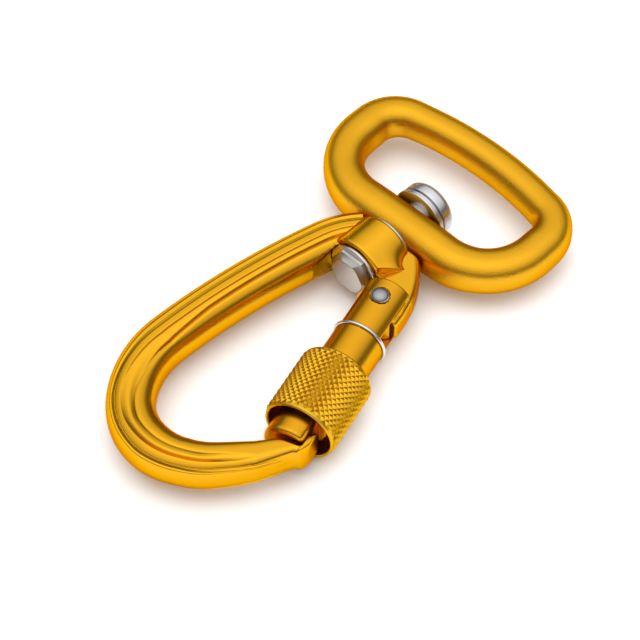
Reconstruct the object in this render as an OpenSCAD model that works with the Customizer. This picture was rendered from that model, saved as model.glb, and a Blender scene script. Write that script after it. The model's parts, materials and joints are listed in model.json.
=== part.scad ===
// Swivel screw-gate carabiner, lying flat. +X runs along the swivel axis from the hook
// to the ring, +Z is normal to the plane of the hook, and the swivel axis lies at y = 0.

/* [Swivel bolt] */
// Distance from the plan origin to the boss face inside the hook
boss_x = 9.32; // [8:0.01:10]
// Length of the swivel boss along the bolt
boss_len = 7.95; // [7:0.05:9]
// Outer radius of the swivel boss
boss_r = 6.3; // [5.8:0.1:6.6]
// Radius of the bolt shank
shank_r = 3; // [2.5:0.1:3.2]
// Running clearance on a radius between a shaft and its hole
fit = 0.05; // [0.02:0.01:0.09]
// Axial gap between faces that turn against each other
face_gap = 0.05; // [0.02:0.01:0.1]
// Thickness of the washer under the hexagonal head
head_washer_t = 0.55; // [0.4:0.05:0.8]
// Radius of the washer under the hexagonal head
head_washer_r = 5.28; // [5:0.02:5.5]
// Radius of the hexagonal head over its corners
hex_r = 4.8; // [4.4:0.1:5]
// Radius of the flat end face of the hexagonal head
hex_face_r = 3.6; // [3.2:0.1:4]
// Height of the hexagonal head
hex_h = 1.8; // [1.5:0.1:2.4]
// Radius of the washers on the ring side
ring_washer_r = 5.5; // [5:0.1:5.8]
// Radius of the domed end at its rim
dome_r = 5.32; // [5:0.02:5.5]

/* [Webbing ring] */
// Half of the ring's width to the middle of its side bars
ring_half_w = 21.2; // [19:0.1:24]
// Length of the ring between the middles of its two long bars
ring_len = 22.8; // [21:0.1:26]
// Bend radius at the near corners, to the middle of the bar
near_corner_r = 11.7; // [10:0.1:13]
// Bend radius at the far corners, to the middle of the bar
far_corner_r = 6.7; // [6:0.1:8]
// Radius of the bow in the far bar
far_bow_r = 70; // [50:1:150]
// Width and height of the near bar
near_bar = [8.2, 8.9]; // [6:0.1:10]
// Width and height of the side bars
side_bar = [7.6, 7.9]; // [6:0.1:9]
// Width and height of the far bar
far_bar = [6.8, 7.3]; // [6:0.1:9]

/* [Hook] */
// Height of the mid-plane above the surface that the hook lies on
mid_z = 7; // [7:0.5:9]
// Width and height of the hook's round section
hook_bar = [8.8, 8.6]; // [7:0.1:10]
// Width and height of the section at the nose
nose_bar = [6.2, 7.6]; // [6:0.1:8]
// Start of the spine inside the boss
spine_start = [15.56, 3.92]; // [3:0.01:17]
// Heading of the spine where it starts, in degrees
spine_heading = 135.85; // [130:0.05:140]
// Bends of the hook from the boss to the nose, each a radius and an angle
hook_bends = [[16, 28.65], [150, 13], [20.4, 44], [13, 60], [13, 38]];
// Straight run from the last bend to the nose
nose_run = 18.4; // [16:0.1:20]

/* [Gate] */
// Place of the hinge rivet
pivot = [5.12, -9.75]; // [-12:0.01:6]
// Angle of the closed gate away from the swivel axis
gate_angle = 14.6; // [12:0.1:16]
// Outer radius of the gate tube
gate_r = 4.8; // [4.4:0.1:5]
// Distance from the rivet to the closing end of the gate
gate_len = 34; // [33:0.1:35]
// Distance from the rivet to the hinge end of the gate
gate_back = 3.9; // [3.5:0.1:4.2]
// Radius of the spring bore in the gate
spring_bore_r = 2.5; // [2.4:0.02:2.6]
// Depth of the spring bore from the rivet
spring_bore_end = 23; // [20:0.5:26]
// Distance from the rivet to the closed end of the hinge slot
slot_end = 7; // [6.8:0.1:7.4]
// Thickness of the hinge lug
lug_t = 5; // [4.6:0.1:5.2]
// Radius of the rivet shank
rivet_r = 1.3; // [1.1:0.1:1.5]
// Radius of the rivet's domed heads
rivet_head_r = 1.77; // [1.6:0.01:2]
// Cam lift for each radian that the gate opens
cam_lift = 1.74; // [1:0.01:2]

/* [Sleeve] */
// Outer radius of the locking sleeve
sleeve_r = 7; // [6.6:0.1:7.2]
// Distance from the rivet to the sleeve's upper end, screwed down
sleeve_top = 15.2; // [15:0.1:16]
// Length of the sleeve
sleeve_len = 14.6; // [13:0.1:15]
// Radius of the sleeve's wide lower bore
sleeve_mouth_r = 6.1; // [5.6:0.05:6.3]
// Length of the sleeve's narrow upper bore
sleeve_grip_len = 7.3; // [6:0.1:9]
// Distance from the rivet to the wire stop ring
stop_at = 7.7; // [7.5:0.1:8.2]
// Radius of the stop ring's wire
stop_wire_r = 0.33; // [0.25:0.01:0.4]

/* [Hidden] */
$fn = 96;
big = 60;
gold = [0.85, 0.6, 0.1];
dark_gold = [0.72, 0.55, 0.12];
steel = [0.72, 0.72, 0.74];

boss_end = boss_x + boss_len;
head_washer_x = boss_x - head_washer_t - 0.02;
hex_x = head_washer_x - hex_h - 0.01;
thrust_washer_x = boss_end + 0.02;
thrust_washer_t = 0.46;
thrust_washer_r = 5.4;
ring_x = thrust_washer_x + thrust_washer_t + face_gap + near_bar[0] / 2;
ring_washer_x = ring_x + near_bar[0] / 2 + face_gap;
ring_washer_t = 0.5;
cap_washer_t = 0.42;
cap_washer_r = ring_washer_r - 0.12;
cap_washer_x = ring_washer_x + ring_washer_t + 0.01;
dome_x = cap_washer_x + cap_washer_t + 0.01;
dome_collar_r = 4.7;
dome_collar_t = 0.4;
dome_rim_t = 1.5;
dome_h = 2.1;
thread_r = 2.5;
thread_depth = 2.6;
seat_len = 5;
seat_fit = 0.14;

bow_angle = asin((ring_half_w - far_corner_r) / (far_bow_r - far_corner_r));
near_half = ring_half_w - near_corner_r;
bow_rise = far_bow_r * (1 - cos(bow_angle));
side_run = ring_len - near_corner_r - far_corner_r * cos(bow_angle) - bow_rise;
ring_bends = [[near_corner_r, 90, side_bar], [0, side_run, side_bar],
              [far_corner_r, 90 - bow_angle, far_bar]];
lap = 0.3;
lap_step = 0.04;

slot_h = lug_t + 0.24;
shoulder_r = 24;
shoulder_edge = 4.9;
lug_disc_r = 4.4;
tail_end = 2.8;
crease_r = 6.6;
shoulder_h = 7.6;
cam_r = 4.3;
cam_from = -40;
cam_to = 45;
nose_gap_r = gate_len + 0.85;
tongue_in = 3.1;
tongue_out = 3.9;
tongue_h = 4.6;
tongue_root = gate_len + 2.6;
gate_flat = tongue_in - 0.15;
gate_flat_from = 28;
nose_end = 34.3;
nose_slope = 37;
end_face = gate_len - 0.3;
end_slope = 5.7;
end_gap = 0.75;
sleeve_end = sleeve_top + sleeve_len;
tongue_tip_r = norm([sleeve_end, sleeve_r]) + 0.15;
spot_z = 4.4;
rivet_dome_h = 1.3;
rivet_rim_h = 0.3;

plunger_tip_r = 1.6;
plunger_tip_t = cam_r + 0.2;
plunger_head_t = plunger_tip_t + plunger_tip_r;
plunger_head_len = 1.6;
plunger_head_r = spring_bore_r - fit;
plunger_tail_len = 3.5;
plunger_tail_r = 1.2;
spring_from = plunger_head_t + plunger_head_len + 0.02;
spring_to = spring_bore_end - 0.02;
spring_wire_r = 0.3;
spring_mean_r = 1.95;
spring_turns = 9;
spring_steps = 20;
spring_sides = 6;

// An oval outline of the given width and height, fuller than an ellipse
function oval(size, n = 40, power = 2.6) =
    [for (i = [0 : n - 1])
        let (a = i * 360 / n, c = cos(a), s = sin(a))
            [size[0] / 2 * sign(c) * pow(abs(c), 2 / power),
             size[1] / 2 * sign(s) * pow(abs(s), 2 / power)]];

// A half profile of a flattened dome, for turning about its own axis
function dome_outline(r, h, n = 16) =
    concat([[0, 0]], [for (i = [0 : n]) [r * cos(i * 90 / n), h * sin(i * 90 / n)]]);

// One stretch of bar, a bend of a radius and an angle or a straight of a length. It starts
// a short lap inside the stretch before it.
module stretch(radius, amount, size) {
    if (radius > 0) {
        lap_angle = lap / radius * 180 / PI;
        translate([0, radius, 0]) rotate([0, 0, -90 - lap_angle])
            rotate_extrude(angle = amount + lap_angle) translate([radius, 0]) polygon(oval(size));
    } else
        translate([-lap, 0, 0]) rotate([90, 0, 90]) linear_extrude(amount + lap) polygon(oval(size));
}

// A chain of stretches, each a little slimmer than the one that it laps into
module bar_chain(bends, i = 0) {
    radius = bends[i][0];
    amount = bends[i][1];
    stretch(radius, amount, bends[i][2] - i * [lap_step, lap_step]);
    if (i < len(bends) - 1)
        translate(radius > 0 ? [radius * sin(amount), radius * (1 - cos(amount)), 0]
                             : [amount, 0, 0])
            rotate([0, 0, radius > 0 ? amount : 0]) bar_chain(bends, i + 1);
}

// Places a shape on the swivel axis, its own z running along +X from x
module on_swivel(x) {
    translate([x, 0, mid_z]) rotate([0, 90, 0]) children();
}

// Places a shape at the hinge: x along the closed gate, y outwards, z up
module at_hinge() {
    translate([pivot[0], pivot[1], mid_z]) rotate([0, 0, 180 + gate_angle]) children();
}

// Places a shape on the gate's own axis, its z running from the rivet to the closing end
module on_gate(t) {
    at_hinge() translate([t, 0, 0]) rotate([0, 90, 0]) children();
}

module washer(x, r, t) {
    on_swivel(x) difference() {
        cylinder(r = r, h = t);
        translate([0, 0, -1]) cylinder(r = shank_r + fit, h = t + 2);
    }
}

// Flat region of the lug, seen from above in the hinge frame
module lug_outline() {
    circle(r = lug_disc_r);
    polygon(concat([[0, 0]], [for (a = [cam_from : 5 : cam_to])
        let (r = cam_r + cam_lift * max(0, a) * PI / 180) [r * cos(a), -r * sin(a)]]));
    intersection() {
        translate([0, shoulder_edge - shoulder_r]) circle(r = shoulder_r, $fn = 200);
        translate([-15, -2]) square([15 + tail_end, 10]);
    }
}

// Shoulder beside the boss, seen from above
module shoulder_outline() {
    intersection() {
        translate(pivot) rotate(180 + gate_angle)
            translate([0, shoulder_edge - shoulder_r]) circle(r = shoulder_r, $fn = 200);
        translate([boss_x, -16]) square([boss_len, 16]);
    }
}

module hook_head() {
    on_swivel(boss_x) cylinder(r = boss_r, h = boss_len);
    translate([0, 0, mid_z - lug_t / 2]) linear_extrude(lug_t) shoulder_outline();
    at_hinge() translate([0, 0, -lug_t / 2]) linear_extrude(lug_t) intersection() {
        lug_outline();
        rotate(-180 - gate_angle) translate([boss_end - big - pivot[0], -big]) square([big, 2 * big]);
    }
    difference() {
        translate([0, 0, mid_z - shoulder_h / 2]) linear_extrude(shoulder_h) shoulder_outline();
        translate([pivot[0], pivot[1], -big]) cylinder(r = crease_r, h = 2 * big);
        translate([boss_x - 1, -2 * big - boss_r - 2.2, -big]) cube([boss_len + 2, 2 * big, 2 * big]);
    }
}

// Everything past a plane across the gate, its outer edge nearer the hinge than its inner edge
module past_end(t) {
    at_hinge() translate([t, 0, -big]) rotate(end_slope) translate([0, -big, 0]) cube(2 * big);
}

// Everything outside the sloping outer edge of the nose
module beyond_nose() {
    at_hinge() translate([nose_end, tongue_out, -big]) rotate(-nose_slope)
        translate([-big, 0, 0]) cube([2 * big, big, 2 * big]);
}

module hook_nose() {
    difference() {
        children();
        beyond_nose();
        difference() {
            at_hinge() intersection() {
                translate([0, 0, -big]) cylinder(r = nose_gap_r, h = 2 * big);
                translate([sleeve_top, -sleeve_r, -big]) cube([big, 2 * sleeve_r, 2 * big]);
            }
            past_end(end_face + end_gap);
        }
    }
    difference() {
        at_hinge() translate([gate_flat_from, tongue_in, -tongue_h / 2])
            cube([tongue_root - gate_flat_from, tongue_out - tongue_in, tongue_h]);
        beyond_nose();
        at_hinge() translate([0, 0, -big]) cylinder(r = tongue_tip_r, h = 2 * big);
    }
}

module carabiner_body() {
    last = len(hook_bends) - 1;
    bends = [for (i = [0 : last])
        [hook_bends[i][0], hook_bends[i][1], i < last ? hook_bar : (hook_bar + nose_bar) / 2]];
    color(gold) difference() {
        union() {
            hook_head();
            hook_nose() intersection() {
                translate([spine_start[0], spine_start[1], mid_z]) rotate([0, 0, spine_heading])
                    bar_chain(concat(bends, [[0, nose_run, nose_bar]]));
                translate([boss_end - 2 * big, -big, -big]) cube(2 * big);
            }
        }
        on_swivel(boss_x - 1) cylinder(r = shank_r + fit, h = boss_len + 2);
        on_swivel(boss_x - seat_len) cylinder(r = head_washer_r + seat_fit, h = seat_len);
        translate([pivot[0], pivot[1], -1]) cylinder(r = rivet_r + fit, h = 2 * mid_z);
    }
}

module swivel_ring() {
    color(gold) difference() {
        union() {
            translate([ring_x, -near_half, mid_z]) rotate([0, 0, 90])
                stretch(0, 2 * near_half, near_bar);
            for (side = [0, 1]) mirror([0, side, 0])
                translate([ring_x, near_half, mid_z]) rotate([0, 0, 90]) mirror([0, 1, 0])
                    bar_chain(ring_bends);
            translate([ring_x + ring_len - far_bow_r, 0, mid_z]) rotate([0, 0, -bow_angle])
                translate([far_bow_r, 0, 0]) rotate([0, 0, 90])
                    stretch(far_bow_r, 2 * bow_angle + lap / far_bow_r * 180 / PI,
                            far_bar - 4 * [lap_step, lap_step]);
        }
        on_swivel(ring_x - near_bar[0]) cylinder(r = shank_r + fit, h = 2 * near_bar[0]);
    }
}

module swivel_bolt() {
    color(steel) {
        on_swivel(hex_x) intersection() {
            cylinder(r1 = hex_face_r, r2 = hex_face_r + hex_h, h = hex_h);
            rotate(30) cylinder(r = hex_r, h = hex_h, $fn = 6);
        }
        on_swivel(hex_x + hex_h / 2) cylinder(r = shank_r, h = dome_x - hex_x - hex_h / 2);
        on_swivel(dome_x - 1) cylinder(r = thread_r - 0.04, h = 1 + thread_depth - 0.1);
    }
}

module head_washer() {
    color(steel) washer(head_washer_x, head_washer_r, head_washer_t);
}

module thrust_washer() {
    color(steel) washer(thrust_washer_x, thrust_washer_r, thrust_washer_t);
}

module ring_washer() {
    color(steel) washer(ring_washer_x, ring_washer_r, ring_washer_t);
}

module cap_washer() {
    color(steel) washer(cap_washer_x, cap_washer_r, cap_washer_t);
}

module dome_nut() {
    color(steel) on_swivel(dome_x + 0.01) difference() {
        union() {
            cylinder(r = dome_collar_r, h = dome_collar_t + 0.1);
            translate([0, 0, dome_collar_t]) cylinder(r = dome_r, h = dome_rim_t);
            translate([0, 0, dome_collar_t + dome_rim_t])
                rotate_extrude() polygon(dome_outline(dome_r, dome_h));
        }
        translate([0, 0, -1]) cylinder(r = thread_r, h = thread_depth + 1);
    }
}

module gate_tube() {
    end_chamfer = 1;
    groove_r = stop_wire_r + 0.04;
    color(gold) difference() {
        union() {
            on_gate(-gate_back) cylinder(r = gate_r, h = gate_back + gate_len - end_chamfer);
            on_gate(gate_len - end_chamfer)
                cylinder(r1 = gate_r, r2 = gate_r - end_chamfer, h = end_chamfer);
        }
        on_gate(-big / 2) cylinder(r = spring_bore_r, h = big / 2 + spring_bore_end);
        at_hinge() translate([-big / 2, -big / 2, -slot_h / 2])
            cube([big / 2 + slot_end, big, slot_h]);
        at_hinge() translate([gate_flat_from, gate_flat, -big / 2]) cube([big, big, big]);
        past_end(end_face);
        on_gate(stop_at) rotate_extrude() translate([gate_r + 0.12, 0]) circle(r = groove_r, $fn = 32);
        at_hinge() for (side = [0, 1]) mirror([0, 0, side])
            translate([0, 0, spot_z]) cylinder(r = rivet_head_r + 0.1, h = 2);
        at_hinge() translate([0, 0, -mid_z]) cylinder(r = rivet_r + 0.02, h = 2 * mid_z);
    }
}

module hinge_rivet() {
    color(steel) at_hinge() {
        translate([0, 0, -spot_z]) cylinder(r = rivet_r, h = 2 * spot_z);
        for (side = [0, 1]) mirror([0, 0, side]) translate([0, 0, spot_z + 0.01]) {
            cylinder(r = rivet_head_r, h = rivet_rim_h);
            translate([0, 0, rivet_rim_h])
                rotate_extrude() polygon(dome_outline(rivet_head_r, rivet_dome_h - rivet_rim_h));
            translate([0, 0, -0.1]) cylinder(r = rivet_r, h = 0.2);
        }
    }
}

// Point i of the coil's wire, at angle a round the wire
function coil_point(i, a) =
    let (turn = 360 * i / spring_steps,
         rise = (spring_to - spring_from - 2 * spring_wire_r) * i / (spring_turns * spring_steps),
         r = spring_mean_r + spring_wire_r * cos(a))
        [r * cos(turn), r * sin(turn), spring_wire_r + rise + spring_wire_r * sin(a)];

module gate_spring() {
    rings = spring_turns * spring_steps;
    points = [for (i = [0 : rings], k = [0 : spring_sides - 1]) coil_point(i, 360 * k / spring_sides)];
    walls = [for (i = [0 : rings - 1], k = [0 : spring_sides - 1])
        let (a = i * spring_sides + k, b = i * spring_sides + (k + 1) % spring_sides)
            [a, b, b + spring_sides, a + spring_sides]];
    caps = [[for (k = [spring_sides - 1 : -1 : 0]) k],
            [for (k = [0 : spring_sides - 1]) rings * spring_sides + k]];
    color(steel) on_gate(spring_from) polyhedron(points, concat(walls, caps));
}

module spring_plunger() {
    color(steel) {
        on_gate(plunger_head_t) {
            sphere(r = plunger_tip_r);
            cylinder(r = plunger_head_r, h = plunger_head_len);
            cylinder(r = plunger_tail_r, h = plunger_head_len + plunger_tail_len);
        }
    }
}

module locking_sleeve() {
    edge = 0.5;
    color(dark_gold) on_gate(sleeve_top) difference() {
        union() {
            cylinder(r1 = sleeve_r - edge, r2 = sleeve_r, h = edge);
            translate([0, 0, edge]) cylinder(r = sleeve_r, h = sleeve_len - edge);
        }
        translate([0, 0, -1]) cylinder(r = gate_r + fit, h = sleeve_len + 2);
        translate([0, 0, sleeve_grip_len]) cylinder(r = sleeve_mouth_r, h = sleeve_len);
    }
}

module sleeve_stop_ring() {
    gap = 14;
    color(steel) on_gate(stop_at) rotate(gap / 2)
        rotate_extrude(angle = 360 - gap)
            translate([gate_r + 0.12, 0]) circle(r = stop_wire_r, $fn = 32);
}

carabiner_body();
swivel_ring();
swivel_bolt();
head_washer();
thrust_washer();
ring_washer();
cap_washer();
dome_nut();
gate_tube();
hinge_rivet();
gate_spring();
spring_plunger();
locking_sleeve();
sleeve_stop_ring();
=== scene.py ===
import json
import math

import bmesh
import bpy
import numpy as np
from mathutils import Matrix, Vector


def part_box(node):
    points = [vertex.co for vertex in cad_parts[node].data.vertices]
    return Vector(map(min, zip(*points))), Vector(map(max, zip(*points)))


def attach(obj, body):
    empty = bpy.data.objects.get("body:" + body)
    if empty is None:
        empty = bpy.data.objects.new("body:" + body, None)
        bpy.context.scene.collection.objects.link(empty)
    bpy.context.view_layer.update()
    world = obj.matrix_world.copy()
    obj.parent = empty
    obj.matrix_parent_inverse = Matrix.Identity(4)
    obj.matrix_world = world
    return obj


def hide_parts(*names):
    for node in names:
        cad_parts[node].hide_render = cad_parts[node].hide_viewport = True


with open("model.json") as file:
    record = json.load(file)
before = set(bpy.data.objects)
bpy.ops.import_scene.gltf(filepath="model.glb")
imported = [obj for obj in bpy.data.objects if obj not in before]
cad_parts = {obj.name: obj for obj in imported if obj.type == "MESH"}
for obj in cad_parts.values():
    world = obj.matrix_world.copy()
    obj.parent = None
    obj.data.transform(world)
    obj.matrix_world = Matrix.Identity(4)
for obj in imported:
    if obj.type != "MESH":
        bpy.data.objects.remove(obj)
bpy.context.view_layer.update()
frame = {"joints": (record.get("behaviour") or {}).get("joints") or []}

# Sizes are in mm where nothing else is said, and become metres only where a mesh is made or moved. The
# object lies flat with the swivel axis along X. Three measures are used besides x, y and z:
#   t    along the closed gate, from its rivet towards the nose
#   rho  outwards from the gate's axis, in the plane of the hook
#   s    arc length along the hook bar, from the boss to the nose

# ---------------------------------------------------------------- places taken from the frame
JOINTS = {joint["name"]: joint for joint in frame["joints"]}
PIVOT = np.array(JOINTS["gate_hinge"]["pos_m"]) * 1000
MID_Z = PIVOT[2]
TO_NOSE = np.array(JOINTS["plunger_slide"]["axis"])
TO_NOSE = TO_NOSE / np.linalg.norm(TO_NOSE)
OUTWARD = np.array([-TO_NOSE[1], TO_NOSE[0], 0.0])
SWIVEL_AXIS = np.array([1.0, 0.0, 0.0])
ON_SWIVEL = np.array([0.0, 0.0, MID_Z])


def box(node):
    """Lower and upper corner of a CAD node."""
    lo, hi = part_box(node)
    return np.array(lo) * 1000, np.array(hi) * 1000


# ---------------------------------------------------------------- sizes that several pieces share
WASHER_GAP = 0.02
BOSS_X = box("head_washer")[1][0] + WASHER_GAP
BOSS_END = box("thrust_washer")[0][0] - WASHER_GAP
BOSS_R = 6.3
SEAT_R = 5.42
SHANK_R = 3.0
BOLT_BORE_R = SHANK_R + 0.05

SPINE_START = (BOSS_X - 0.63, 7.86)
SPINE_HEADING = math.radians(164.5)
ROOT_BEND = 16.0
BENDS = [(150, math.radians(13)), (20.4, math.radians(44)), (13, math.radians(98))]
BEND_END = sum(radius * angle for radius, angle in BENDS)
BAR_FROM, BAR_TO = -8.0, 77.5
NOSE_FROM, NOSE_TIP, NOSE_TO = 75.0, 90.3, 92

GATE_R, GATE_LEN, GATE_BACK = 4.8, 34.0, 3.9
GATE_BORE_R, GATE_BORE_END = 2.5, 23
GATE_FACE, END_SLOPE = GATE_LEN + 0.05, 0.1
NOSE_GAP, NOSE_SWING_R = 0.5, 34.95
TONGUE_IN, TONGUE_OUT, TONGUE_TIP, TONGUE_ROOT = 3.1, 3.9, 30.76, 37.0
STOP_RING_AT = 7.7

SLEEVE_R, SLEEVE_TOP, SLEEVE_LEN, MOUTH_R = 7.0, 15.2, 14.6, 6.1
SLEEVE_BORE_R = GATE_R + 0.05


# ---------------------------------------------------------------- meshes
def new_object(name, data):
    ob = bpy.data.objects.new(name, data)
    bpy.context.scene.collection.objects.link(ob)
    return ob


def mesh_object(name, verts, faces, normals=None, smooth=True):
    """An object from vertices in mm and an array of faces with equal numbers of sides."""
    faces = np.asarray(faces, np.int32)
    count, sides = faces.shape
    me = bpy.data.meshes.new(name)
    me.vertices.add(len(verts))
    me.vertices.foreach_set("co", (np.asarray(verts, float) * 0.001).astype(np.float32).ravel())
    me.loops.add(count * sides)
    me.loops.foreach_set("vertex_index", faces.ravel())
    me.polygons.add(count)
    me.polygons.foreach_set("loop_start", np.arange(0, count * sides, sides, dtype=np.int32))
    me.update(calc_edges=True)
    me.validate()
    if smooth:
        me.shade_smooth()
    if normals is not None:
        me.normals_split_custom_set_from_vertices(normals.tolist())
    return new_object(name, me)


def shade(me, sharp=None):
    """Smooth shading, with edges sharper than an angle in degrees left sharp."""
    me.shade_smooth()
    if sharp:
        me.set_sharp_from_angle(angle=math.radians(sharp))


def clean(ob, weld=0.0, close=False, sharp=None):
    """Welds vertices nearer than weld in metres, closes open ends, and turns the faces outwards."""
    bm = bmesh.new()
    bm.from_mesh(ob.data)
    if weld:
        bmesh.ops.remove_doubles(bm, verts=bm.verts, dist=weld)
    if close:
        bmesh.ops.holes_fill(bm, edges=[edge for edge in bm.edges if edge.is_boundary])
    bmesh.ops.recalc_face_normals(bm, faces=bm.faces)
    bm.to_mesh(ob.data)
    bm.free()
    shade(ob.data, sharp)
    return ob


def apply_modifier(ob, modifier):
    with bpy.context.temp_override(object=ob, active_object=ob):
        bpy.ops.object.modifier_apply(modifier=modifier.name)


def join(name, parts):
    """One object out of several."""
    with bpy.context.temp_override(active_object=parts[0], selected_editable_objects=parts,
                                   selected_objects=parts, object=parts[0]):
        bpy.ops.object.join()
    parts[0].name = name
    parts[0].data.name = name
    return parts[0]


def unit(vectors):
    return vectors / np.linalg.norm(vectors, axis=-1)[..., None]


def full_turn(count):
    """Evenly spaced angles round a circle, in radians."""
    return np.arange(count) * 2 * np.pi / count


def grid_faces(rows, cols, wrap_rows=False):
    """Quads between rows of vertices, each row closed on itself."""
    row = np.arange(rows if wrap_rows else rows - 1)[:, None]
    col = np.arange(cols)[None, :]
    next_row, next_col = (row + 1) % rows, (col + 1) % cols
    corners = [row * cols + col, row * cols + next_col, next_row * cols + next_col, next_row * cols + col]
    return np.stack(corners, -1).reshape(-1, 4)


def lathe(name, profile, origin, axis, steps, sharp):
    """Turns a profile of (distance along the axis, radius) points round the axis."""
    side = np.cross(axis, [0, 0, 1.0]) if abs(axis[2]) < 0.9 else np.array([1.0, 0, 0])
    side = unit(side)
    up = np.cross(axis, side)
    points = np.array(profile, float)
    turn = full_turn(steps)
    spokes = np.cos(turn)[:, None] * side + np.sin(turn)[:, None] * up
    verts = origin + points[:, 0][:, None, None] * axis + points[:, 1][:, None, None] * spokes
    bm = bmesh.new()
    rows = [[bm.verts.new(v * 0.001) for v in row] for row in verts]
    for this, following in zip(rows, rows[1:]):
        for c in range(steps):
            d = (c + 1) % steps
            bm.faces.new([this[c], following[c], following[d], this[d]])
    bmesh.ops.remove_doubles(bm, verts=bm.verts, dist=1e-7)
    bmesh.ops.recalc_face_normals(bm, faces=bm.faces)
    me = bpy.data.meshes.new(name)
    bm.to_mesh(me)
    bm.free()
    shade(me, sharp)
    return new_object(name, me)


def wire(name, centres, radius, sides, spokes=None, sharp=None):
    """A round wire along points; its section starts at the spokes, or else away from the middle."""
    tangent = unit(np.gradient(centres, axis=0))
    if spokes is None:
        spokes = centres - centres.mean(0)
        spokes = unit(spokes - (spokes * tangent).sum(1)[:, None] * tangent)
    across = np.cross(tangent, spokes)
    turn = full_turn(sides)[None, :, None]
    verts = centres[:, None] + radius * (np.cos(turn) * spokes[:, None] + np.sin(turn) * across[:, None])
    ob = mesh_object(name, verts.reshape(-1, 3), grid_faces(len(centres), sides))
    return clean(ob, close=True, sharp=sharp)


def rounded(points, radii, pieces=4):
    """A closed outline with rounded corners, as a list that ends at its first point."""
    pts = np.array(points, float)
    out = []
    for i, radius in enumerate(radii):
        before, corner, after = pts[i - 1], pts[i], pts[(i + 1) % len(pts)]
        if radius == 0:
            out.append(corner)
            continue
        u, v = unit(before - corner), unit(after - corner)
        for k in range(pieces + 1):
            w = k / pieces
            out.append(corner + u * radius * (1 - w) ** 2 + v * radius * w ** 2)
    return out + [out[0]]


# ---------------------------------------------------------------- distance fields
def smooth_min(a, b, blend):
    h = np.clip(0.5 + 0.5 * (b - a) / blend, 0, 1)
    return b * (1 - h) + a * h - blend * h * (1 - h)


def smooth_max(a, b, blend):
    return -smooth_min(-a, -b, blend)


def round_both(a, b, edge):
    """Inside both a and b, with the edge between them rounded to a radius."""
    a, b = a + edge, b + edge
    return np.hypot(np.maximum(a, 0), np.maximum(b, 0)) + np.minimum(np.maximum(a, b), 0) - edge


def ease(x, start, end):
    """0 before start, 1 past end, and a smooth step between them."""
    w = np.clip((x - start) / (end - start), 0, 1)
    return w * w * (3 - 2 * w)


def gradient(field, points, reach=0.03):
    out = []
    for axis in range(3):
        e = np.eye(3)[axis] * reach
        out.append((field(*(points + e).T) - field(*(points - e).T)) / (2 * reach))
    return np.stack(out, -1)


def sample(field, axes, slab=12):
    """The field on a grid, worked out a few layers at a time to save memory."""
    values = np.empty([len(a) for a in axes], np.float32)
    for i in range(0, len(axes[0]), slab):
        values[i:i + slab] = field(*np.meshgrid(axes[0][i:i + slab], axes[1], axes[2], indexing="ij"))
    return values


def cell_points(values, cells):
    """The middle of the surface's crossings with each cell's edges, in grid units."""
    total, count = np.zeros((len(cells), 3)), np.zeros(len(cells))
    for axis in range(3):
        along = np.eye(3, dtype=int)[axis]
        for b in (0, 1):
            for c in (0, 1):
                start = np.insert([b, c], axis, 0)
                here = values[tuple((cells + start).T)].astype(float)
                there = values[tuple((cells + start + along).T)].astype(float)
                crossed = (here < 0) != (there < 0)
                part = np.where(crossed, here / np.where(crossed, here - there, 1), 0)
                total += crossed[:, None] * (start + part[:, None] * along)
                count += crossed
    return cells + total / count[:, None]


def cell_quads(inside, ids):
    """A quad for every grid edge that the surface crosses, through the four cells round the edge."""
    quads = []
    for axis in range(3):
        b, c = (axis + 1) % 3, (axis + 2) % 3
        low = np.take(inside, range(inside.shape[axis] - 1), axis)
        high = np.take(inside, range(1, inside.shape[axis]), axis)
        edges = np.argwhere(low != high)
        for side in (b, c):
            edges = edges[(edges[:, side] > 0) & (edges[:, side] < inside.shape[side] - 1)]
        corners = []
        for back_b, back_c in ((1, 1), (0, 1), (0, 0), (1, 0)):
            cell = edges.copy()
            cell[:, b] -= back_b
            cell[:, c] -= back_c
            corners.append(ids[tuple(cell.T)])
        quad = np.stack(corners, -1)
        outward = ~low[tuple(edges.T)]
        quad[outward] = quad[outward][:, ::-1]
        quads.append(quad)
    return np.concatenate(quads)


def nets(name, field, lo, hi, pitch):
    """The zero surface of a field(x, y, z) in mm as a mesh, by surface nets."""
    axes = [np.arange(lo[i], hi[i] + pitch, pitch) for i in range(3)]
    values = sample(field, axes)
    inside = values < 0
    nx, ny, nz = (n - 1 for n in inside.shape)
    corners_in = sum(inside[i:nx + i, j:ny + j, k:nz + k].astype(np.int8)
                     for i in (0, 1) for j in (0, 1) for k in (0, 1))
    crossed = (corners_in > 0) & (corners_in < 8)
    cells = np.argwhere(crossed)
    ids = np.full(crossed.shape, -1, np.int32)
    ids[crossed] = np.arange(len(cells))
    points = np.array(lo) + cell_points(values, cells) * pitch
    # the points are drawn onto the surface, which brings out its edges
    rounds, flattest, longest = 3, 0.05, 0.4 * pitch
    for _ in range(rounds):
        value, slope = field(*points.T), gradient(field, points)
        move = np.clip(value / np.maximum((slope * slope).sum(1), flattest), -longest, longest)
        points = points - move[:, None] * slope
    normals = gradient(field, points)
    normals /= np.maximum(np.linalg.norm(normals, axis=1), 1e-9)[:, None]
    return mesh_object(name, points, cell_quads(inside, ids), normals)


# ---------------------------------------------------------------- places along the gate and the bar
def hinge_frame(x, y):
    """t and rho of points in the plane."""
    dx, dy = x - PIVOT[0], y - PIVOT[1]
    return dx * TO_NOSE[0] + dy * TO_NOSE[1], dx * OUTWARD[0] + dy * OUTWARD[1]


def on_gate(t, rho, z):
    """Points from t, rho and the height above the gate's axis."""
    t, rho, z = np.broadcast_arrays(np.asarray(t, float), rho, z)
    return np.stack([PIVOT[0] + t * TO_NOSE[0] + rho * OUTWARD[0],
                     PIVOT[1] + t * TO_NOSE[1] + rho * OUTWARD[1], MID_Z + z], -1)


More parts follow.
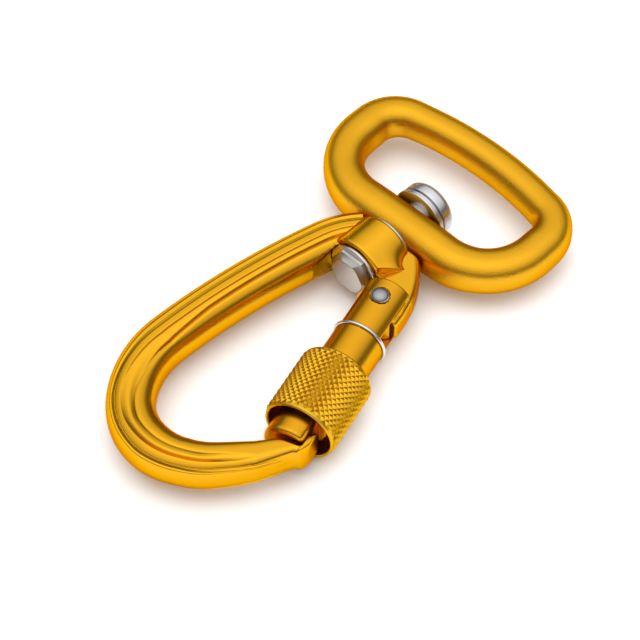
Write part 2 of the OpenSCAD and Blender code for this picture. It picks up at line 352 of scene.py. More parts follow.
def onward(start, length, radius=0):
    """x, y and heading after a length from start: straight on, or on an arc that turns left.
    With a negative radius it turns right."""
    x, y, heading = start
    if radius == 0:
        return x + length * math.cos(heading), y + length * math.sin(heading), heading
    turned = heading + length / radius
    return (x + radius * (np.sin(turned) - math.sin(heading)),
            y - radius * (np.cos(turned) - math.cos(heading)), turned)


def bar_path(s):
    """Centre and heading at arc length s along the hook bar."""
    s = np.asarray(s, float)
    place = np.zeros((3, *s.shape))
    start, done = (*SPINE_START, SPINE_HEADING), 0.0
    at = s <= done
    place[:, at] = onward(start, s[at], ROOT_BEND)
    for radius, angle in BENDS:
        length = radius * angle
        at = (s > done) & (s <= done + length)
        place[:, at] = onward(start, s[at] - done, radius)
        start, done = onward(start, length, radius), done + length
    at = s > done
    x, y, heading = onward(start, s[at] - done)
    place[0, at], place[1, at], place[2, at] = x, y, heading
    return place


def near_bar(x, y):
    """s and the outward distance from the bar's line for points near the last bend and the nose."""
    end_x, end_y, heading = bar_path(np.array([BEND_END]))[:, 0]
    t = (x - end_x) * math.cos(heading) + (y - end_y) * math.sin(heading)
    from_line = (x - end_x) * math.sin(heading) - (y - end_y) * math.cos(heading)
    r = BENDS[-1][0]
    dx, dy = x - (end_x - r * math.sin(heading)), y - (end_y + r * math.cos(heading))
    back = np.arctan2(dy, dx) - (heading - math.pi / 2)
    back = (back + math.pi) % (2 * math.pi) - math.pi
    s = np.where(t > 0, BEND_END + t, BEND_END + r * np.minimum(back, 0))
    return s, np.where(t > 0, from_line, np.hypot(dx, dy) - r)


# ---------------------------------------------------------------- hook bar
# half widths of the forged lines in degrees, and their depths
CHANNEL_RAMP, CREASE_HALF, GROOVE_HALF = 1.6, 2.2, 6.5
CHANNEL_DEPTH, CREASE_DEPTH, GROOVE_DEPTH = 0.34, 0.16, 0.34


def rib_lines(s):
    """Angles, in degrees from the outer side over the top, of the forged lines on the bar: both edges
    of the flat channel, the crease and the groove on the inner side."""
    channel_out = np.interp(s, [35, 42, 50, 60], [63, 55, 42, 34])
    channel_in = np.interp(s, [35, 42, 50, 60], [79, 68, 54, 45])
    crease = np.interp(s, [30, 36, 42, 48, 55, 76, 79.5], [98, 97, 86, 71, 64, 62, 66])
    groove = np.interp(s, [8, 26, 36, 44, 50, 56, 74, 79.5], [115, 117, 127, 119, 104, 94, 88, 74])
    return channel_out, channel_in, crease, groove


def bar_sides(s):
    """How far the bar reaches outwards, inwards and up from its line."""
    out = np.interp(s, [56, 61, 67, 73.3, 76, 79.5, 82.7, 85.6, 87.2, 90.3],
                    [4.4, 4.25, 3.6, 3.42, 3.3, 2.8, 1.75, 0.8, 0.35, -1.3])
    inn = np.interp(s, [60, 67, 73.3, 79.5, 82], [4.4, 4.2, 3.35, 2.85, 3.0])
    high = np.interp(s, [60, 70, 78, 84, 88], [4.3, 4.05, 3.6, 3.2, 2.9])
    return out, inn, high


def bar_middle(s):
    out, inn, _ = bar_sides(s)
    return (out - inn) / 2


def oval(cosine, sine, wide, high, power):
    """Radius of an oval with half widths wide and high; a higher power gives squarer corners."""
    return ((np.abs(cosine) / wide) ** power + (np.abs(sine) / high) ** power) ** (-1 / power)


def bar_radius(phi, s):
    """Radius of the bar's section at angle phi, in radians from the outer side."""
    out, inn, high = bar_sides(s)
    r = oval(np.cos(phi), np.sin(phi), (out + inn) / 2, high, np.interp(s, [66, 82], [2.4, 3.6]))
    deg = np.degrees(np.arccos(np.clip(np.cos(phi), -1, 1)))
    channel_out, channel_in, crease, groove = rib_lines(s)
    channel = (ease(deg, channel_out - CHANNEL_RAMP, channel_out + CHANNEL_RAMP)
               * (1 - ease(deg, channel_in - CHANNEL_RAMP, channel_in + CHANNEL_RAMP)))
    r = r - CHANNEL_DEPTH * (1 - ease(s, 80, 86)) * channel * np.interp(s, [35, 50], [1, 0.75])
    near_crease = np.clip(1 - np.abs(deg - crease) / CREASE_HALF, 0, 1)
    r = r - CREASE_DEPTH * (1 - ease(s, 44, 56)) * near_crease
    near_groove = np.clip(1 - np.abs(deg - groove) / GROOVE_HALF, 0, 1)
    r = r - GROOVE_DEPTH * near_groove ** 1.3 * np.interp(s, [0, 36, 50, 74, 79.5], [1, 1, 0.4, 0.1, 0])
    hollow_depth = np.interp(s, [36, 44, 54, 70, 79.5], [0, 0.3, 0.78, 0.7, 0])
    across = np.clip((deg - crease) / np.maximum(groove - crease, 4), 0, 1)
    return r - hollow_depth * np.sin(np.pi * across) ** 0.8


def section_angles(s):
    """Angles round the bar at which its section has vertices: closest along the forged lines."""
    channel_out, channel_in, crease, groove = rib_lines(s)
    between = (channel_in + crease) / 2
    ramp, flank = CHANNEL_RAMP + 0.2, 2
    side = np.zeros_like(s)
    knots = [side, channel_out - ramp, channel_out + ramp, channel_in - ramp, channel_in + ramp,
             between - flank, between, between + flank, crease - CREASE_HALF, crease, crease + CREASE_HALF,
             groove - GROOVE_HALF, groove, groove + GROOVE_HALF, side + 180]
    counts = [14, 4, 3, 4, 3, 2, 2, 3, 3, 3, 8, 4, 4, 15]
    deg = [a + (b - a) * k / n for a, b, n in zip(knots, knots[1:], counts) for k in range(n)]
    deg = np.maximum.accumulate(np.stack(deg + [side + 180], 1), axis=1)
    return np.radians(np.concatenate([deg, 360 - deg[:, -2:0:-1]], 1))


def cut_by_seat(r, x, y, phi, out_x, out_y):
    """The bar's radius, cut back where the round seat of the bolt head goes into its side."""
    qa = np.cos(phi) ** 2 * out_y ** 2 + np.sin(phi) ** 2
    qb = 2 * y * np.cos(phi) * out_y
    disc = qb ** 2 - 4 * qa * (y ** 2 - SEAT_R ** 2)
    hit = (-qb - np.sqrt(np.maximum(disc, 0))) / (2 * qa)
    beside_head = (x + hit * np.cos(phi) * out_x < BOSS_X + 0.2) & (x > 4.5)
    return np.where((disc > 0) & (hit > 0) & (hit < r) & beside_head, hit, r)


SINK, SINK_RUN = 0.03, 1.5


def bar_mesh():
    """The hook bar from inside the boss to just past the last bend, where its end sinks into the nose."""
    pitch = 0.33
    s = np.arange(BAR_FROM, BAR_TO + 0.001, pitch)
    phi = section_angles(s)
    x, y, heading = (v[:, None] for v in bar_path(s))
    s = s[:, None]
    out_x, out_y = np.sin(heading), -np.cos(heading)
    x, y = x + bar_middle(s) * out_x, y + bar_middle(s) * out_y
    r = bar_radius(phi, s) - SINK * ease(s, BAR_TO - SINK_RUN, BAR_TO)
    r = cut_by_seat(r, x, y, phi, out_x, out_y)
    verts = np.stack([np.minimum(x + r * np.cos(phi) * out_x, BOSS_END - 0.03), y + r * np.cos(phi) * out_y,
                      MID_Z + r * np.sin(phi)], -1)
    ob = mesh_object("hook_bar", verts.reshape(-1, 3), grid_faces(*phi.shape))
    return clean(ob, close=True, sharp=60)


# ---------------------------------------------------------------- boss and nose
LUG_HALF, LUG_R = 2.5, 4.4
LUG_ARC_R, LUG_ARC_IN = 24, 19.1
CAM_R, CAM_RISE, CAM_TURN, CAM_REACH = 4.3, 1.74, math.radians(45), 0.8
SADDLE_HALF, SADDLE_LEN = 3.6, 5.2
CREASE_AT, CREASE_NORMAL = (BOSS_X + 0.17, -5.13), (-0.566, -0.824)


def boss_field(x, y, z):
    """The barrel with its raised saddle, and the lug with its cam edge and pin hole."""
    up = np.abs(z - MID_Z)
    t, rho = hinge_frame(x, y)
    from_pin, from_bolt = np.hypot(t, rho), np.hypot(y, up)
    middle, half = (BOSS_X + BOSS_END) / 2, (BOSS_END - BOSS_X) / 2
    ends = np.maximum(BOSS_X - x, x - BOSS_END)
    rim = np.hypot(t, rho + LUG_ARC_IN) - LUG_ARC_R

    barrel = round_both(from_bolt - BOSS_R, np.abs(x - middle) - half, edge=0.3)
    raised = smooth_max(round_both(rim, up - SADDLE_HALF, edge=1.6), ends, blend=0.4)
    raised = np.maximum(raised, y - 0.5)
    raised = smooth_max(raised, x - BOSS_X - SADDLE_LEN, blend=4.0)
    saddle = smooth_max(smooth_min(barrel, raised, blend=2.6), ends, blend=0.8)
    crease = (x - CREASE_AT[0]) * CREASE_NORMAL[0] + (y - CREASE_AT[1]) * CREASE_NORMAL[1]
    saddle = smooth_max(saddle, crease, blend=0.12)

    finger = round_both(rim, up - LUG_HALF, edge=1.3)
    tail = smooth_max(finger, np.maximum(t - 2.8, np.maximum(-2 - rho, x - BOSS_END)), blend=0.5)
    web = np.maximum(np.maximum(finger, ends), y)
    turned = np.arctan2(-rho, t)
    cam = CAM_R + CAM_RISE * np.clip(turned, 0, CAM_TURN)
    disc = from_pin - np.maximum(LUG_R, np.where(np.abs(turned) < CAM_REACH, cam, 0))
    disc = np.maximum(disc, up - LUG_HALF)

    f = np.minimum(np.minimum(saddle, smooth_min(tail, web, blend=0.3)), disc)
    f = np.maximum(f, BOLT_BORE_R - from_bolt)
    return np.maximum(f, 1.35 - from_pin)


def nose_field(x, y, z):
    """The bar's last stretch, cut off at the gate's end, and the tongue on the gate's outer side."""
    up = np.abs(z - MID_Z)
    t, rho = hinge_frame(x, y)
    from_pin = np.hypot(t, rho)
    s, out = near_bar(x, y)
    side = out - bar_middle(s)
    steepness = 0.8
    bar = (np.hypot(side, up) - bar_radius(np.arctan2(up, side), s)) * steepness
    bar = bar + SINK * (1 - ease(s, NOSE_FROM + 0.2, NOSE_FROM + 0.2 + SINK_RUN))
    bar = np.maximum(bar, np.maximum(NOSE_FROM - s, s - NOSE_TO))
    gate_room = np.minimum(NOSE_SWING_R - from_pin, GATE_FACE + NOSE_GAP - t - END_SLOPE * rho)
    bar = smooth_max(bar, np.where(rho < TONGUE_IN, gate_room, rho - TONGUE_OUT), blend=0.2)

    middle, half = (TONGUE_IN + TONGUE_OUT) / 2, (TONGUE_OUT - TONGUE_IN) / 2
    height = np.interp(t, [31, 35], [2.4, 3.1])
    tongue = round_both(np.abs(rho - middle) - half, up - height, edge=0.35)
    tongue = smooth_max(tongue, (out - bar_sides(s)[0]) * steepness, blend=0.5)
    tongue = np.maximum(tongue, t - TONGUE_ROOT)
    tongue = smooth_max(tongue, TONGUE_TIP - from_pin, blend=0.3)
    return smooth_min(bar, tongue, blend=1.0)


def build_hook():
    """The one-piece forging: bar, boss with lug, and nose with tongue."""
    boss = nets("hook_boss", boss_field, (-1, -15.8, -0.1), (BOSS_END + 0.6, 7, 14.1), pitch=0.17)
    nose_x, nose_y, _ = bar_path(np.array([NOSE_FROM, NOSE_TIP]))
    around, half_height = 6, 5.5
    lo = (min(nose_x) - around, min(nose_y) - around, MID_Z - half_height)
    hi = (max(nose_x) + around, max(nose_y) + around, MID_Z + half_height)
    nose = nets("hook_nose", nose_field, lo, hi, pitch=0.15)
    return join("carabiner_body_forged", [bar_mesh(), boss, nose])


# ---------------------------------------------------------------- webbing ring
RING_HALF_W, RING_LENGTH = 21.2, 22.8
RING_R_NEAR, RING_R_FAR, RING_R_BOW = 11.7, 6.7, 70
RING_POWER, RING_SIDES = 2.4, 72


def ring_path():
    """Half the ring's centre line, from the middle of the near bar to the middle of the bowed far bar,
    as rows of x, y, heading and length run, with the lengths at the ends of its five stretches."""
    near_x = (box("thrust_washer")[1][0] + box("ring_washer")[0][0]) / 2
    bow = math.asin((RING_HALF_W - RING_R_FAR) / (RING_R_BOW - RING_R_FAR))
    sides = RING_LENGTH - RING_R_NEAR - RING_R_FAR * math.cos(bow) - RING_R_BOW * (1 - math.cos(bow))
    corner = math.pi / 2
    stretches = [(0, RING_HALF_W - RING_R_NEAR), (-RING_R_NEAR, RING_R_NEAR * corner), (0, sides),
                 (-RING_R_FAR, RING_R_FAR * (corner - bow)), (-RING_R_BOW, RING_R_BOW * bow)]
    start, done = (near_x, 0.0, math.pi / 2), 0.0
    rows, marks, pitch = [], [done], 0.42
    for radius, length in stretches:
        n = max(2, round(length / pitch))
        for run in (length * i / n for i in range(n)):
            rows.append((*onward(start, run, radius), done + run))
        start, done = onward(start, length, radius), done + length
        marks.append(done)
    return np.array(rows + [(*start, done)]), marks


def softened(values, rounds=6):
    """Values along a line with their kinks smoothed out."""
    for _ in range(rounds):
        values[1:-1] = (values[:-2] + values[1:-1] * 2 + values[2:]) / 4
    return values


def build_ring():
    path, marks = ring_path()
    length = path[:, 3]
    changes = [marks[1] - 3, marks[1] + 8, marks[3] - 1, marks[4] + 2]
    wide = softened(np.interp(length, changes, [4.1, 3.8, 3.8, 3.3]))
    high = softened(np.interp(length, changes, [4.45, 3.95, 3.95, 3.6]))
    centres = np.concatenate([path[:, :2], path[-2:0:-1, :2] * (1, -1)])
    wide, high = (np.concatenate([v, v[-2:0:-1]])[:, None] for v in (wide, high))
    tangent = unit(np.roll(centres, -1, 0) - np.roll(centres, 1, 0))
    turn = full_turn(RING_SIDES)[None]
    r = oval(np.cos(turn), np.sin(turn), wide, high, RING_POWER)
    out, up = r * np.cos(turn), r * np.sin(turn)
    verts = np.stack([centres[:, :1] - out * tangent[:, 1:], centres[:, 1:] + out * tangent[:, :1],
                      MID_Z + up], -1)
    ob = clean(mesh_object("swivel_ring_body", verts.reshape(-1, 3),
                           grid_faces(len(centres), RING_SIDES, wrap_rows=True)))
    reach = 8
    drill = lathe("drill", [(-reach, 0), (-reach, BOLT_BORE_R), (reach, BOLT_BORE_R), (reach, 0)],
                  np.array([path[0, 0], 0, MID_Z]), SWIVEL_AXIS, steps=64, sharp=30)
    bore = ob.modifiers.new("bore", "BOOLEAN")
    bore.object, bore.operation, bore.solver = drill, "DIFFERENCE", "EXACT"
    apply_modifier(ob, bore)
    bpy.data.objects.remove(drill)
    shade(ob.data, 45)
    return ob


# ---------------------------------------------------------------- gate, rivet, stop ring
SLOT_HALF, SLOT_END = 2.62, 7
FLAT_IN, FLAT_FROM = 2.95, 28
PIN_HOLE_R, RIVET_SEAT_R, RIVET_SEAT_Z = 1.32, 1.87, 4.4
STOP_WIRE_R, STOP_GROOVE_R = 0.33, 0.37


def gate_field(x, y, z):
    """The tube with its hinge slot, spring bore, sloped end, flat for the tongue and holes."""
    t, rho = hinge_frame(x, y)
    height = z - MID_Z
    r = np.hypot(rho, height)
    f = np.maximum(round_both(r - GATE_R, t - GATE_LEN - 0.1, edge=1.1),
                   round_both(r - GATE_R, -GATE_BACK - t, edge=0.3))
    slot = np.maximum(np.abs(height) - SLOT_HALF, t - SLOT_END)
    f = smooth_max(f, -slot, blend=0.25)
    f = np.maximum(f, -np.maximum(r - GATE_BORE_R, t - GATE_BORE_END))
    f = smooth_max(f, t + END_SLOPE * rho - GATE_FACE, blend=0.8)
    f = smooth_max(f, -np.maximum(FLAT_IN - rho, FLAT_FROM - t), blend=0.9)
    f = np.maximum(f, STOP_GROOVE_R - np.hypot(r - (GATE_R + 0.12), t - STOP_RING_AT))
    from_pin = np.hypot(t, rho)
    f = np.maximum(f, PIN_HOLE_R - from_pin)
    return np.maximum(f, -np.maximum(from_pin - RIVET_SEAT_R, RIVET_SEAT_Z - np.abs(height)))


def build_gate():
    """The gate is meshed along its own axis, then turned into place."""
    def local(t, rho, height):
        return gate_field(PIVOT[0] + t * TO_NOSE[0] + rho * OUTWARD[0],
                          PIVOT[1] + t * TO_NOSE[1] + rho * OUTWARD[1], height + MID_Z)
    reach = GATE_R + 0.5
    lo, hi = (-GATE_BACK - 0.5, -reach, -reach), (GATE_LEN + 0.9, reach, reach)
    ob = nets("gate_tube_body", local, lo, hi, pitch=0.16)
    ob.data.transform(Matrix(((TO_NOSE[0], OUTWARD[0], 0, PIVOT[0] / 1000),
                              (TO_NOSE[1], OUTWARD[1], 0, PIVOT[1] / 1000),
                              (0, 0, 1, MID_Z / 1000), (0, 0, 0, 1))))
    return ob


def build_rivet():
    """A pin with a domed head at both ends."""
    r, rim, dome, pin_r = 1.77, 0.22, 1.3, 1.3
    z = RIVET_SEAT_Z
    side = [(z - 0.05, pin_r), (z, pin_r), (z + 0.01, r - 0.05), (z + 0.05, r)]
    side += [(z + rim + (dome - rim) * math.sin(a), r * math.cos(a)) for a in np.linspace(0, math.pi / 2, 15)]
    profile = [(-along, radius) for along, radius in reversed(side)] + side
    return lathe("hinge_rivet_body", profile, PIVOT, np.array([0, 0, 1.0]), steps=64, sharp=40)


def build_stop_ring():
    opening, faces_to, ring_r = math.radians(14), math.radians(205), 4.92
    turn = np.linspace(opening / 2, 2 * math.pi - opening / 2, 150) + faces_to
    centres = on_gate(STOP_RING_AT, ring_r * np.cos(turn), ring_r * np.sin(turn))
    return wire("sleeve_stop_ring_body", centres, STOP_WIRE_R, sides=14, sharp=50)


# ---------------------------------------------------------------- spring and plunger
SPRING_FROM, SPRING_TO, SPRING_R, SPRING_WIRE_R, SPRING_TURNS = 7.72, 22.98, 1.95, 0.3, 9


def build_spring():
    turns = np.linspace(0, SPRING_TURNS, SPRING_TURNS * 28 + 1)
    rise = SPRING_TO - SPRING_FROM - 2 * SPRING_WIRE_R
    t = SPRING_FROM + SPRING_WIRE_R + rise * turns / SPRING_TURNS
    turn = 2 * np.pi * turns
    centres = on_gate(t, SPRING_R * np.cos(turn), SPRING_R * np.sin(turn))
    spokes = on_gate(0, np.cos(turn), np.sin(turn)) - on_gate(0, 0, 0)
    return wire("gate_spring_body", centres, SPRING_WIRE_R, sides=10, spokes=spokes)


def build_plunger():
    """A round tip on the cam, a collar that carries the spring, and a stem inside it."""
    tip_at, collar_end, stem_end = 4.5, 7.7, 11.2
    tip_r, collar_r, stem_r, chamfer = 1.6, 2.45, 1.2, 0.1
    collar_at = tip_at + tip_r
    profile = []
    for a in np.linspace(0, math.pi / 2, 14):
        profile.append((tip_at + tip_r * (1 - math.cos(a)), tip_r * math.sin(a)))
    profile += [(collar_at, collar_r - chamfer), (collar_at + chamfer, collar_r),
                (collar_end - chamfer, collar_r), (collar_end, collar_r - chamfer), (collar_end, stem_r),
                (stem_end - chamfer, stem_r), (stem_end, stem_r - chamfer), (stem_end, 0)]
    return lathe("spring_plunger_body", profile, on_gate(0, 0, 0), TO_NOSE, steps=48, sharp=35)


# ---------------------------------------------------------------- locking sleeve
KNURL_AROUND, KNURL_PITCH, KNURL_DEPTH = 70, 0.69, 0.33
KNURL_START, KNURL_STOP = SLEEVE_TOP + 0.62, SLEEVE_TOP + SLEEVE_LEN - 0.42
SHOULDER_R = SLEEVE_R - 0.3


def knurl():
    """Vertices and triangles of the knurled band: raised tips in a diamond pattern."""
    rows = int(round((KNURL_STOP - KNURL_START) / KNURL_PITCH))
    rows += rows % 2
    row = np.arange(rows + 1)[:, None]
    col = np.arange(KNURL_AROUND)[None, :]
    r = np.where((row + col) % 2 == 1, SLEEVE_R, SLEEVE_R - KNURL_DEPTH)
    r = np.where((row == 0) | (row == rows), SHOULDER_R, r)
    turn = 2 * np.pi * col / KNURL_AROUND
    t = KNURL_START + (KNURL_STOP - KNURL_START) * row / rows
    verts = on_gate(t, r * np.cos(turn), r * np.sin(turn)).reshape(-1, 3)
    faces = []
    for i in range(rows):
        for j in range(KNURL_AROUND):
            a, b = i * KNURL_AROUND + j, i * KNURL_AROUND + (j + 1) % KNURL_AROUND
            c, d = b + KNURL_AROUND, a + KNURL_AROUND
            faces += [(a, b, d), (b, c, d)] if (i + j) % 2 == 1 else [(a, b, c), (a, c, d)]
    return verts, faces


def build_sleeve():
    top, end, step_at = SLEEVE_TOP, SLEEVE_TOP + SLEEVE_LEN, SLEEVE_TOP + 7.3
    chamfer = 0.15
    turned = [(KNURL_START, SHOULDER_R), (top + 0.12, SLEEVE_R - 0.85), (top, SLEEVE_R - 1.1),
              (top, SLEEVE_BORE_R + chamfer), (top + chamfer, SLEEVE_BORE_R), (step_at - 0.1, SLEEVE_BORE_R),
              (step_at, SLEEVE_BORE_R + 0.1), (step_at, MOUTH_R), (end - chamfer, MOUTH_R),
              (end, MOUTH_R + chamfer), (end, SLEEVE_R - 0.62), (end - 0.05, SLEEVE_R - 0.47),
              (end - 0.14, SLEEVE_R - 0.36), (KNURL_STOP, SHOULDER_R)]
    verts, faces = knurl()
    first = len(verts)
    turn = full_turn(KNURL_AROUND)
    verts = np.concatenate([verts] + [on_gate(t, r * np.cos(turn), r * np.sin(turn)) for t, r in turned])
    for i in range(len(turned) - 1):
        for j in range(KNURL_AROUND):
            a = first + i * KNURL_AROUND + j
            b = first + i * KNURL_AROUND + (j + 1) % KNURL_AROUND
            faces += [(a, a + KNURL_AROUND, b + KNURL_AROUND), (a, b + KNURL_AROUND, b)]
    ob = mesh_object("locking_sleeve_body", verts, np.array(faces), smooth=False)
    return clean(ob, weld=2e-6, sharp=14)


# ---------------------------------------------------------------- bolt, washers, domed end
HEAD_R, HEAD_FACE_R, HEAD_TAPER, HEAD_END = 4.8, 3.6, 1.15, 1.8
PEEN_R = 2.46


def build_bolt():
    """The hexagonal head, which tapers to a smaller end face with blunt corners, and the shank."""
    lo, hi = box("swivel_bolt")
    bm = bmesh.new()

    def outline(along, radius, spread=(0,), scale=1.0):
        for corner in range(6):
            for away in spread:
                a = math.radians(60 * corner + away)
                y, z = radius * math.cos(a) * scale, radius * math.sin(a) * scale
                bm.verts.new(((lo[0] + along) / 1000, y / 1000, (MID_Z + z) / 1000))

    blunt = np.linspace(-9.9, 9.9, 5)
    outline(0, HEAD_FACE_R, blunt, 0.985)
    outline(0.06, HEAD_FACE_R, blunt)
    outline(HEAD_TAPER, HEAD_R)
    outline(HEAD_END, HEAD_R)
    bmesh.ops.convex_hull(bm, input=bm.verts)
    bmesh.ops.dissolve_limit(bm, angle_limit=math.radians(1), verts=bm.verts, edges=bm.edges)
    bmesh.ops.recalc_face_normals(bm, faces=bm.faces)
    me = bpy.data.meshes.new("bolt_head")
    bm.to_mesh(me)
    bm.free()
    head = new_object("bolt_head", me)
    soften = head.modifiers.new("soften", "BEVEL")
    soften.width, soften.segments = 0.00009, 2
    soften.limit_method, soften.angle_limit = "ANGLE", math.radians(20)
    apply_modifier(head, soften)
    shade(head.data, 18)

    shank_at, shank_end = lo[0] + 1, box("dome_nut")[0][0] - 0.02
    profile = [(shank_at, 0), (shank_at, SHANK_R), (shank_end, SHANK_R), (shank_end, PEEN_R),
               (hi[0], PEEN_R), (hi[0], 0)]
    shank = lathe("bolt_shank", profile, ON_SWIVEL, SWIVEL_AXIS, steps=64, sharp=30)
    return join("swivel_bolt_body", [head, shank])


def washer(node, bevel):
    lo, hi = box(node)
    r = (hi[1] - lo[1]) / 2
    corners = [(lo[0], BOLT_BORE_R), (lo[0], r), (hi[0], r), (hi[0], BOLT_BORE_R)]
    profile = rounded(corners, [0, bevel, bevel, 0])
    return lathe(node + "_disc", profile, ON_SWIVEL, SWIVEL_AXIS, steps=128, sharp=40)


def build_dome():
    """A low flange, a rounded rim and the dome, with a bore for the end of the bolt."""
    lo, hi = box("dome_nut")
    x, top, r = lo[0], hi[0], (hi[1] - lo[1]) / 2
    flange_r, bore_r, bore_end, edge, fullness = 4.7, 2.52, x + 2.6, 0.22, 0.8
    rim_at, dome_at = x + 0.4, x + 1.9
    profile = [(x, bore_r), (x, flange_r - 0.1), (x + 0.05, flange_r), (rim_at, flange_r), (rim_at, r - edge)]
    for a in np.linspace(0.3, math.pi / 2, 4):
        profile.append((rim_at + edge * (1 - math.cos(a)), r - edge * (1 - math.sin(a))))
    for k in range(21):
        a = k / 20 * math.pi / 2
        profile.append((dome_at + (top - dome_at) * math.sin(a), r * max(math.cos(a), 0) ** fullness))
    profile += [(bore_end, 0.0), (bore_end, bore_r - 0.02), (x, bore_r)]
    return lathe("dome_nut_body", profile, ON_SWIVEL, SWIVEL_AXIS, steps=128, sharp=35)


# ---------------------------------------------------------------- materials
GRAIN_SCALE, GRAIN_DEPTH = 3000, 0.00005
EDGE_TINT = (0.72, 0.42, 0.07)


def material(name, colour, rough, metallic=1.0, bump=0.0, tint=(1, 1, 1)):
    """A plain surface; with bump above 0 it has a fine satin grain."""
    m = bpy.data.materials.new(name)
    m.use_nodes = True
    nodes, links = m.node_tree.nodes, m.node_tree.links
    surface = nodes["Principled BSDF"]
    surface.inputs["Base Color"].default_value = (*colour, 1)
    surface.inputs["Metallic"].default_value = metallic
    surface.inputs["Roughness"].default_value = rough
    surface.inputs["Specular Tint"].default_value = (*tint, 1)
    if bump:
        place = nodes.new("ShaderNodeTexCoord")
        noise = nodes.new("ShaderNodeTexNoise")
        noise.inputs["Scale"].default_value = GRAIN_SCALE
        noise.inputs["Detail"].default_value = 3
        relief = nodes.new("ShaderNodeBump")
        relief.inputs["Strength"].default_value = bump
        relief.inputs["Distance"].default_value = GRAIN_DEPTH
        links.new(place.outputs["Object"], noise.inputs["Vector"])
        links.new(noise.outputs["Fac"], relief.inputs["Height"])
        links.new(relief.outputs["Normal"], surface.inputs["Normal"])
    return m


def gold(name, colour, rough, bump=0.0):
    """Anodised aluminium, which stays golden at grazing angles."""
    return material(name, colour, rough, bump=bump, tint=EDGE_TINT)


mats = {
    "body_gold": gold("body_gold", (0.75, 0.375, 0.016), 0.22, 0.25),
    "ring_gold": gold("ring_gold", (0.75, 0.38, 0.018), 0.33, 0.9),
    "gate_gold": gold("gate_gold", (0.71, 0.335, 0.014), 0.25),
    "sleeve_gold": gold("sleeve_gold", (0.73, 0.415, 0.024), 0.3),
    "bolt_steel": material("bolt_steel", (0.52, 0.49, 0.46), 0.32),
    "washer_steel": material("washer_steel", (0.66, 0.66, 0.68), 0.25),
    "dome_steel": material("dome_steel", (0.6, 0.6, 0.62), 0.25),
    "rivet_steel": material("rivet_steel", (0.32, 0.32, 0.34), 0.25),
    "spring_steel": material("spring_steel", (0.5, 0.5, 0.52), 0.3),
    "plunger_steel": material("plunger_steel", (0.55, 0.55, 0.57), 0.3),
    "wire_steel": material("wire_steel", (0.68, 0.68, 0.72), 0.2),
}


# ---------------------------------------------------------------- pieces
def piece(ob, node, body, slot):
    """Gives a visible object the material chosen by slot and its body, and hides the CAD node it replaces."""
    ob.data.materials.clear()
    ob.data.materials.append(mats[slot])
    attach(ob, body)
    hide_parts(node)


piece(build_hook(), "carabiner_body", "hook", "body_gold")
piece(build_bolt(), "swivel_bolt", "hook", "bolt_steel")
for washer_node, washer_bevel in (("head_washer", 0.1), ("thrust_washer", 0.1), ("ring_washer", 0.12),
                                  ("cap_washer", 0.12)):
    piece(washer(washer_node, washer_bevel), washer_node, "hook", "washer_steel")
piece(build_dome(), "dome_nut", "hook", "dome_steel")
piece(build_ring(), "swivel_ring", "ring", "ring_gold")
piece(build_gate(), "gate_tube", "gate", "gate_gold")
piece(build_rivet(), "hinge_rivet", "gate", "rivet_steel")
piece(build_spring(), "gate_spring", "gate", "spring_steel")
piece(build_stop_ring(), "sleeve_stop_ring", "gate", "wire_steel")
piece(build_plunger(), "spring_plunger", "plunger", "plunger_steel")
piece(build_sleeve(), "locking_sleeve", "sleeve", "sleeve_gold")


# ---------------------------------------------------------------- floor, camera and light, in metres
FLOOR_HALF_MM = 3000
CAMERA_TURN, CAMERA_TILT = math.radians(46.704), math.radians(52.161)
CAMERA_AIM, CAMERA_DISTANCE, CAMERA_LENS = Vector((-0.00351, -0.00333, 0.007)), 0.5758, 182.97
LAMP_HEIGHT, LAMP_SIZE, LAMP_POWER = 1.207, 1.6, 12
# brightness of the surroundings from straight below, 0, through the horizon, 0.5, to straight above, 1
SKY = [(0.0, 0.9), (0.49, 0.9), (0.51, 0.2), (0.66, 0.17), (0.79, 0.85), (0.9, 1.15), (1.0, 1.6)]


def build_floor():
    corners = np.array([[-1, -1, 0], [1, -1, 0], [1, 1, 0], [-1, 1, 0]]) * FLOOR_HALF_MM
    floor = mesh_object("floor", corners, np.array([[0, 1, 2, 3]]), smooth=False)
    floor.location.z = -0.00002
    paper = material("floor_paper", (0.93, 0.93, 0.93), 0.9, metallic=0.0)
    paper.node_tree.nodes["Principled BSDF"].inputs["Specular IOR Level"].default_value = 0.0
    floor.data.materials.append(paper)


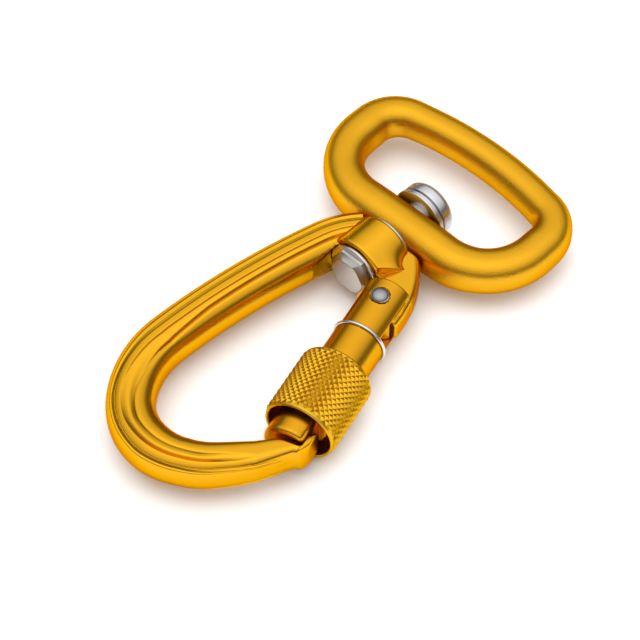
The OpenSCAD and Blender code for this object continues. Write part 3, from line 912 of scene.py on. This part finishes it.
def build_camera():
    back = Vector((-math.sin(CAMERA_TURN) * math.cos(CAMERA_TILT),
                   -math.cos(CAMERA_TURN) * math.cos(CAMERA_TILT), math.sin(CAMERA_TILT)))
    right = Vector((math.cos(CAMERA_TURN), -math.sin(CAMERA_TURN), 0))
    turned = Matrix((right, back.cross(right), back)).transposed()
    camera = new_object("camera", bpy.data.cameras.new("camera"))
    camera.matrix_world = Matrix.Translation(CAMERA_AIM + back * CAMERA_DISTANCE) @ turned.to_4x4()
    camera.data.sensor_width = 36
    camera.data.lens = CAMERA_LENS
    camera.data.clip_start = 0.01
    bpy.context.scene.camera = camera


def build_lamp():
    """A large soft light straight above, which the metal doesn't mirror."""
    lamp = bpy.data.lights.new("fill", "AREA")
    lamp.shape, lamp.size, lamp.size_y, lamp.energy = "RECTANGLE", LAMP_SIZE, LAMP_SIZE, LAMP_POWER
    ob = new_object("fill", lamp)
    ob.location.z = LAMP_HEIGHT
    ob.visible_glossy = False


def build_surroundings():
    """Light from all round, whose brightness depends on the height of the direction only."""
    world = bpy.data.worlds.new("studio")
    world.use_nodes = True
    nodes, links = world.node_tree.nodes, world.node_tree.links
    direction = nodes.new("ShaderNodeTexCoord")
    height = nodes.new("ShaderNodeVectorMath")
    height.operation = "DOT_PRODUCT"
    height.inputs[1].default_value = (0, 0, 1)
    to_unit = nodes.new("ShaderNodeMath")
    to_unit.operation = "MULTIPLY_ADD"
    to_unit.inputs[1].default_value = to_unit.inputs[2].default_value = 0.5
    ramp = nodes.new("ShaderNodeValToRGB")
    ramp.color_ramp.interpolation = "EASE"
    stops = ramp.color_ramp.elements
    # the new stops' own places don't matter, as all are set afterwards
    while len(stops) < len(SKY):
        stops.new(0.5)
    for stop, (at, bright) in zip(stops, SKY):
        stop.position, stop.color = at, (bright, bright, bright, 1)
    links.new(direction.outputs["Generated"], height.inputs[0])
    links.new(height.outputs["Value"], to_unit.inputs[0])
    links.new(to_unit.outputs[0], ramp.inputs[0])
    links.new(ramp.outputs[0], nodes["Background"].inputs["Color"])
    nodes["Background"].inputs["Strength"].default_value = 1.0
    bpy.context.scene.world = world


build_floor()
build_camera()
build_lamp()
build_surroundings()
bpy.context.scene.view_settings.view_transform = "Standard"
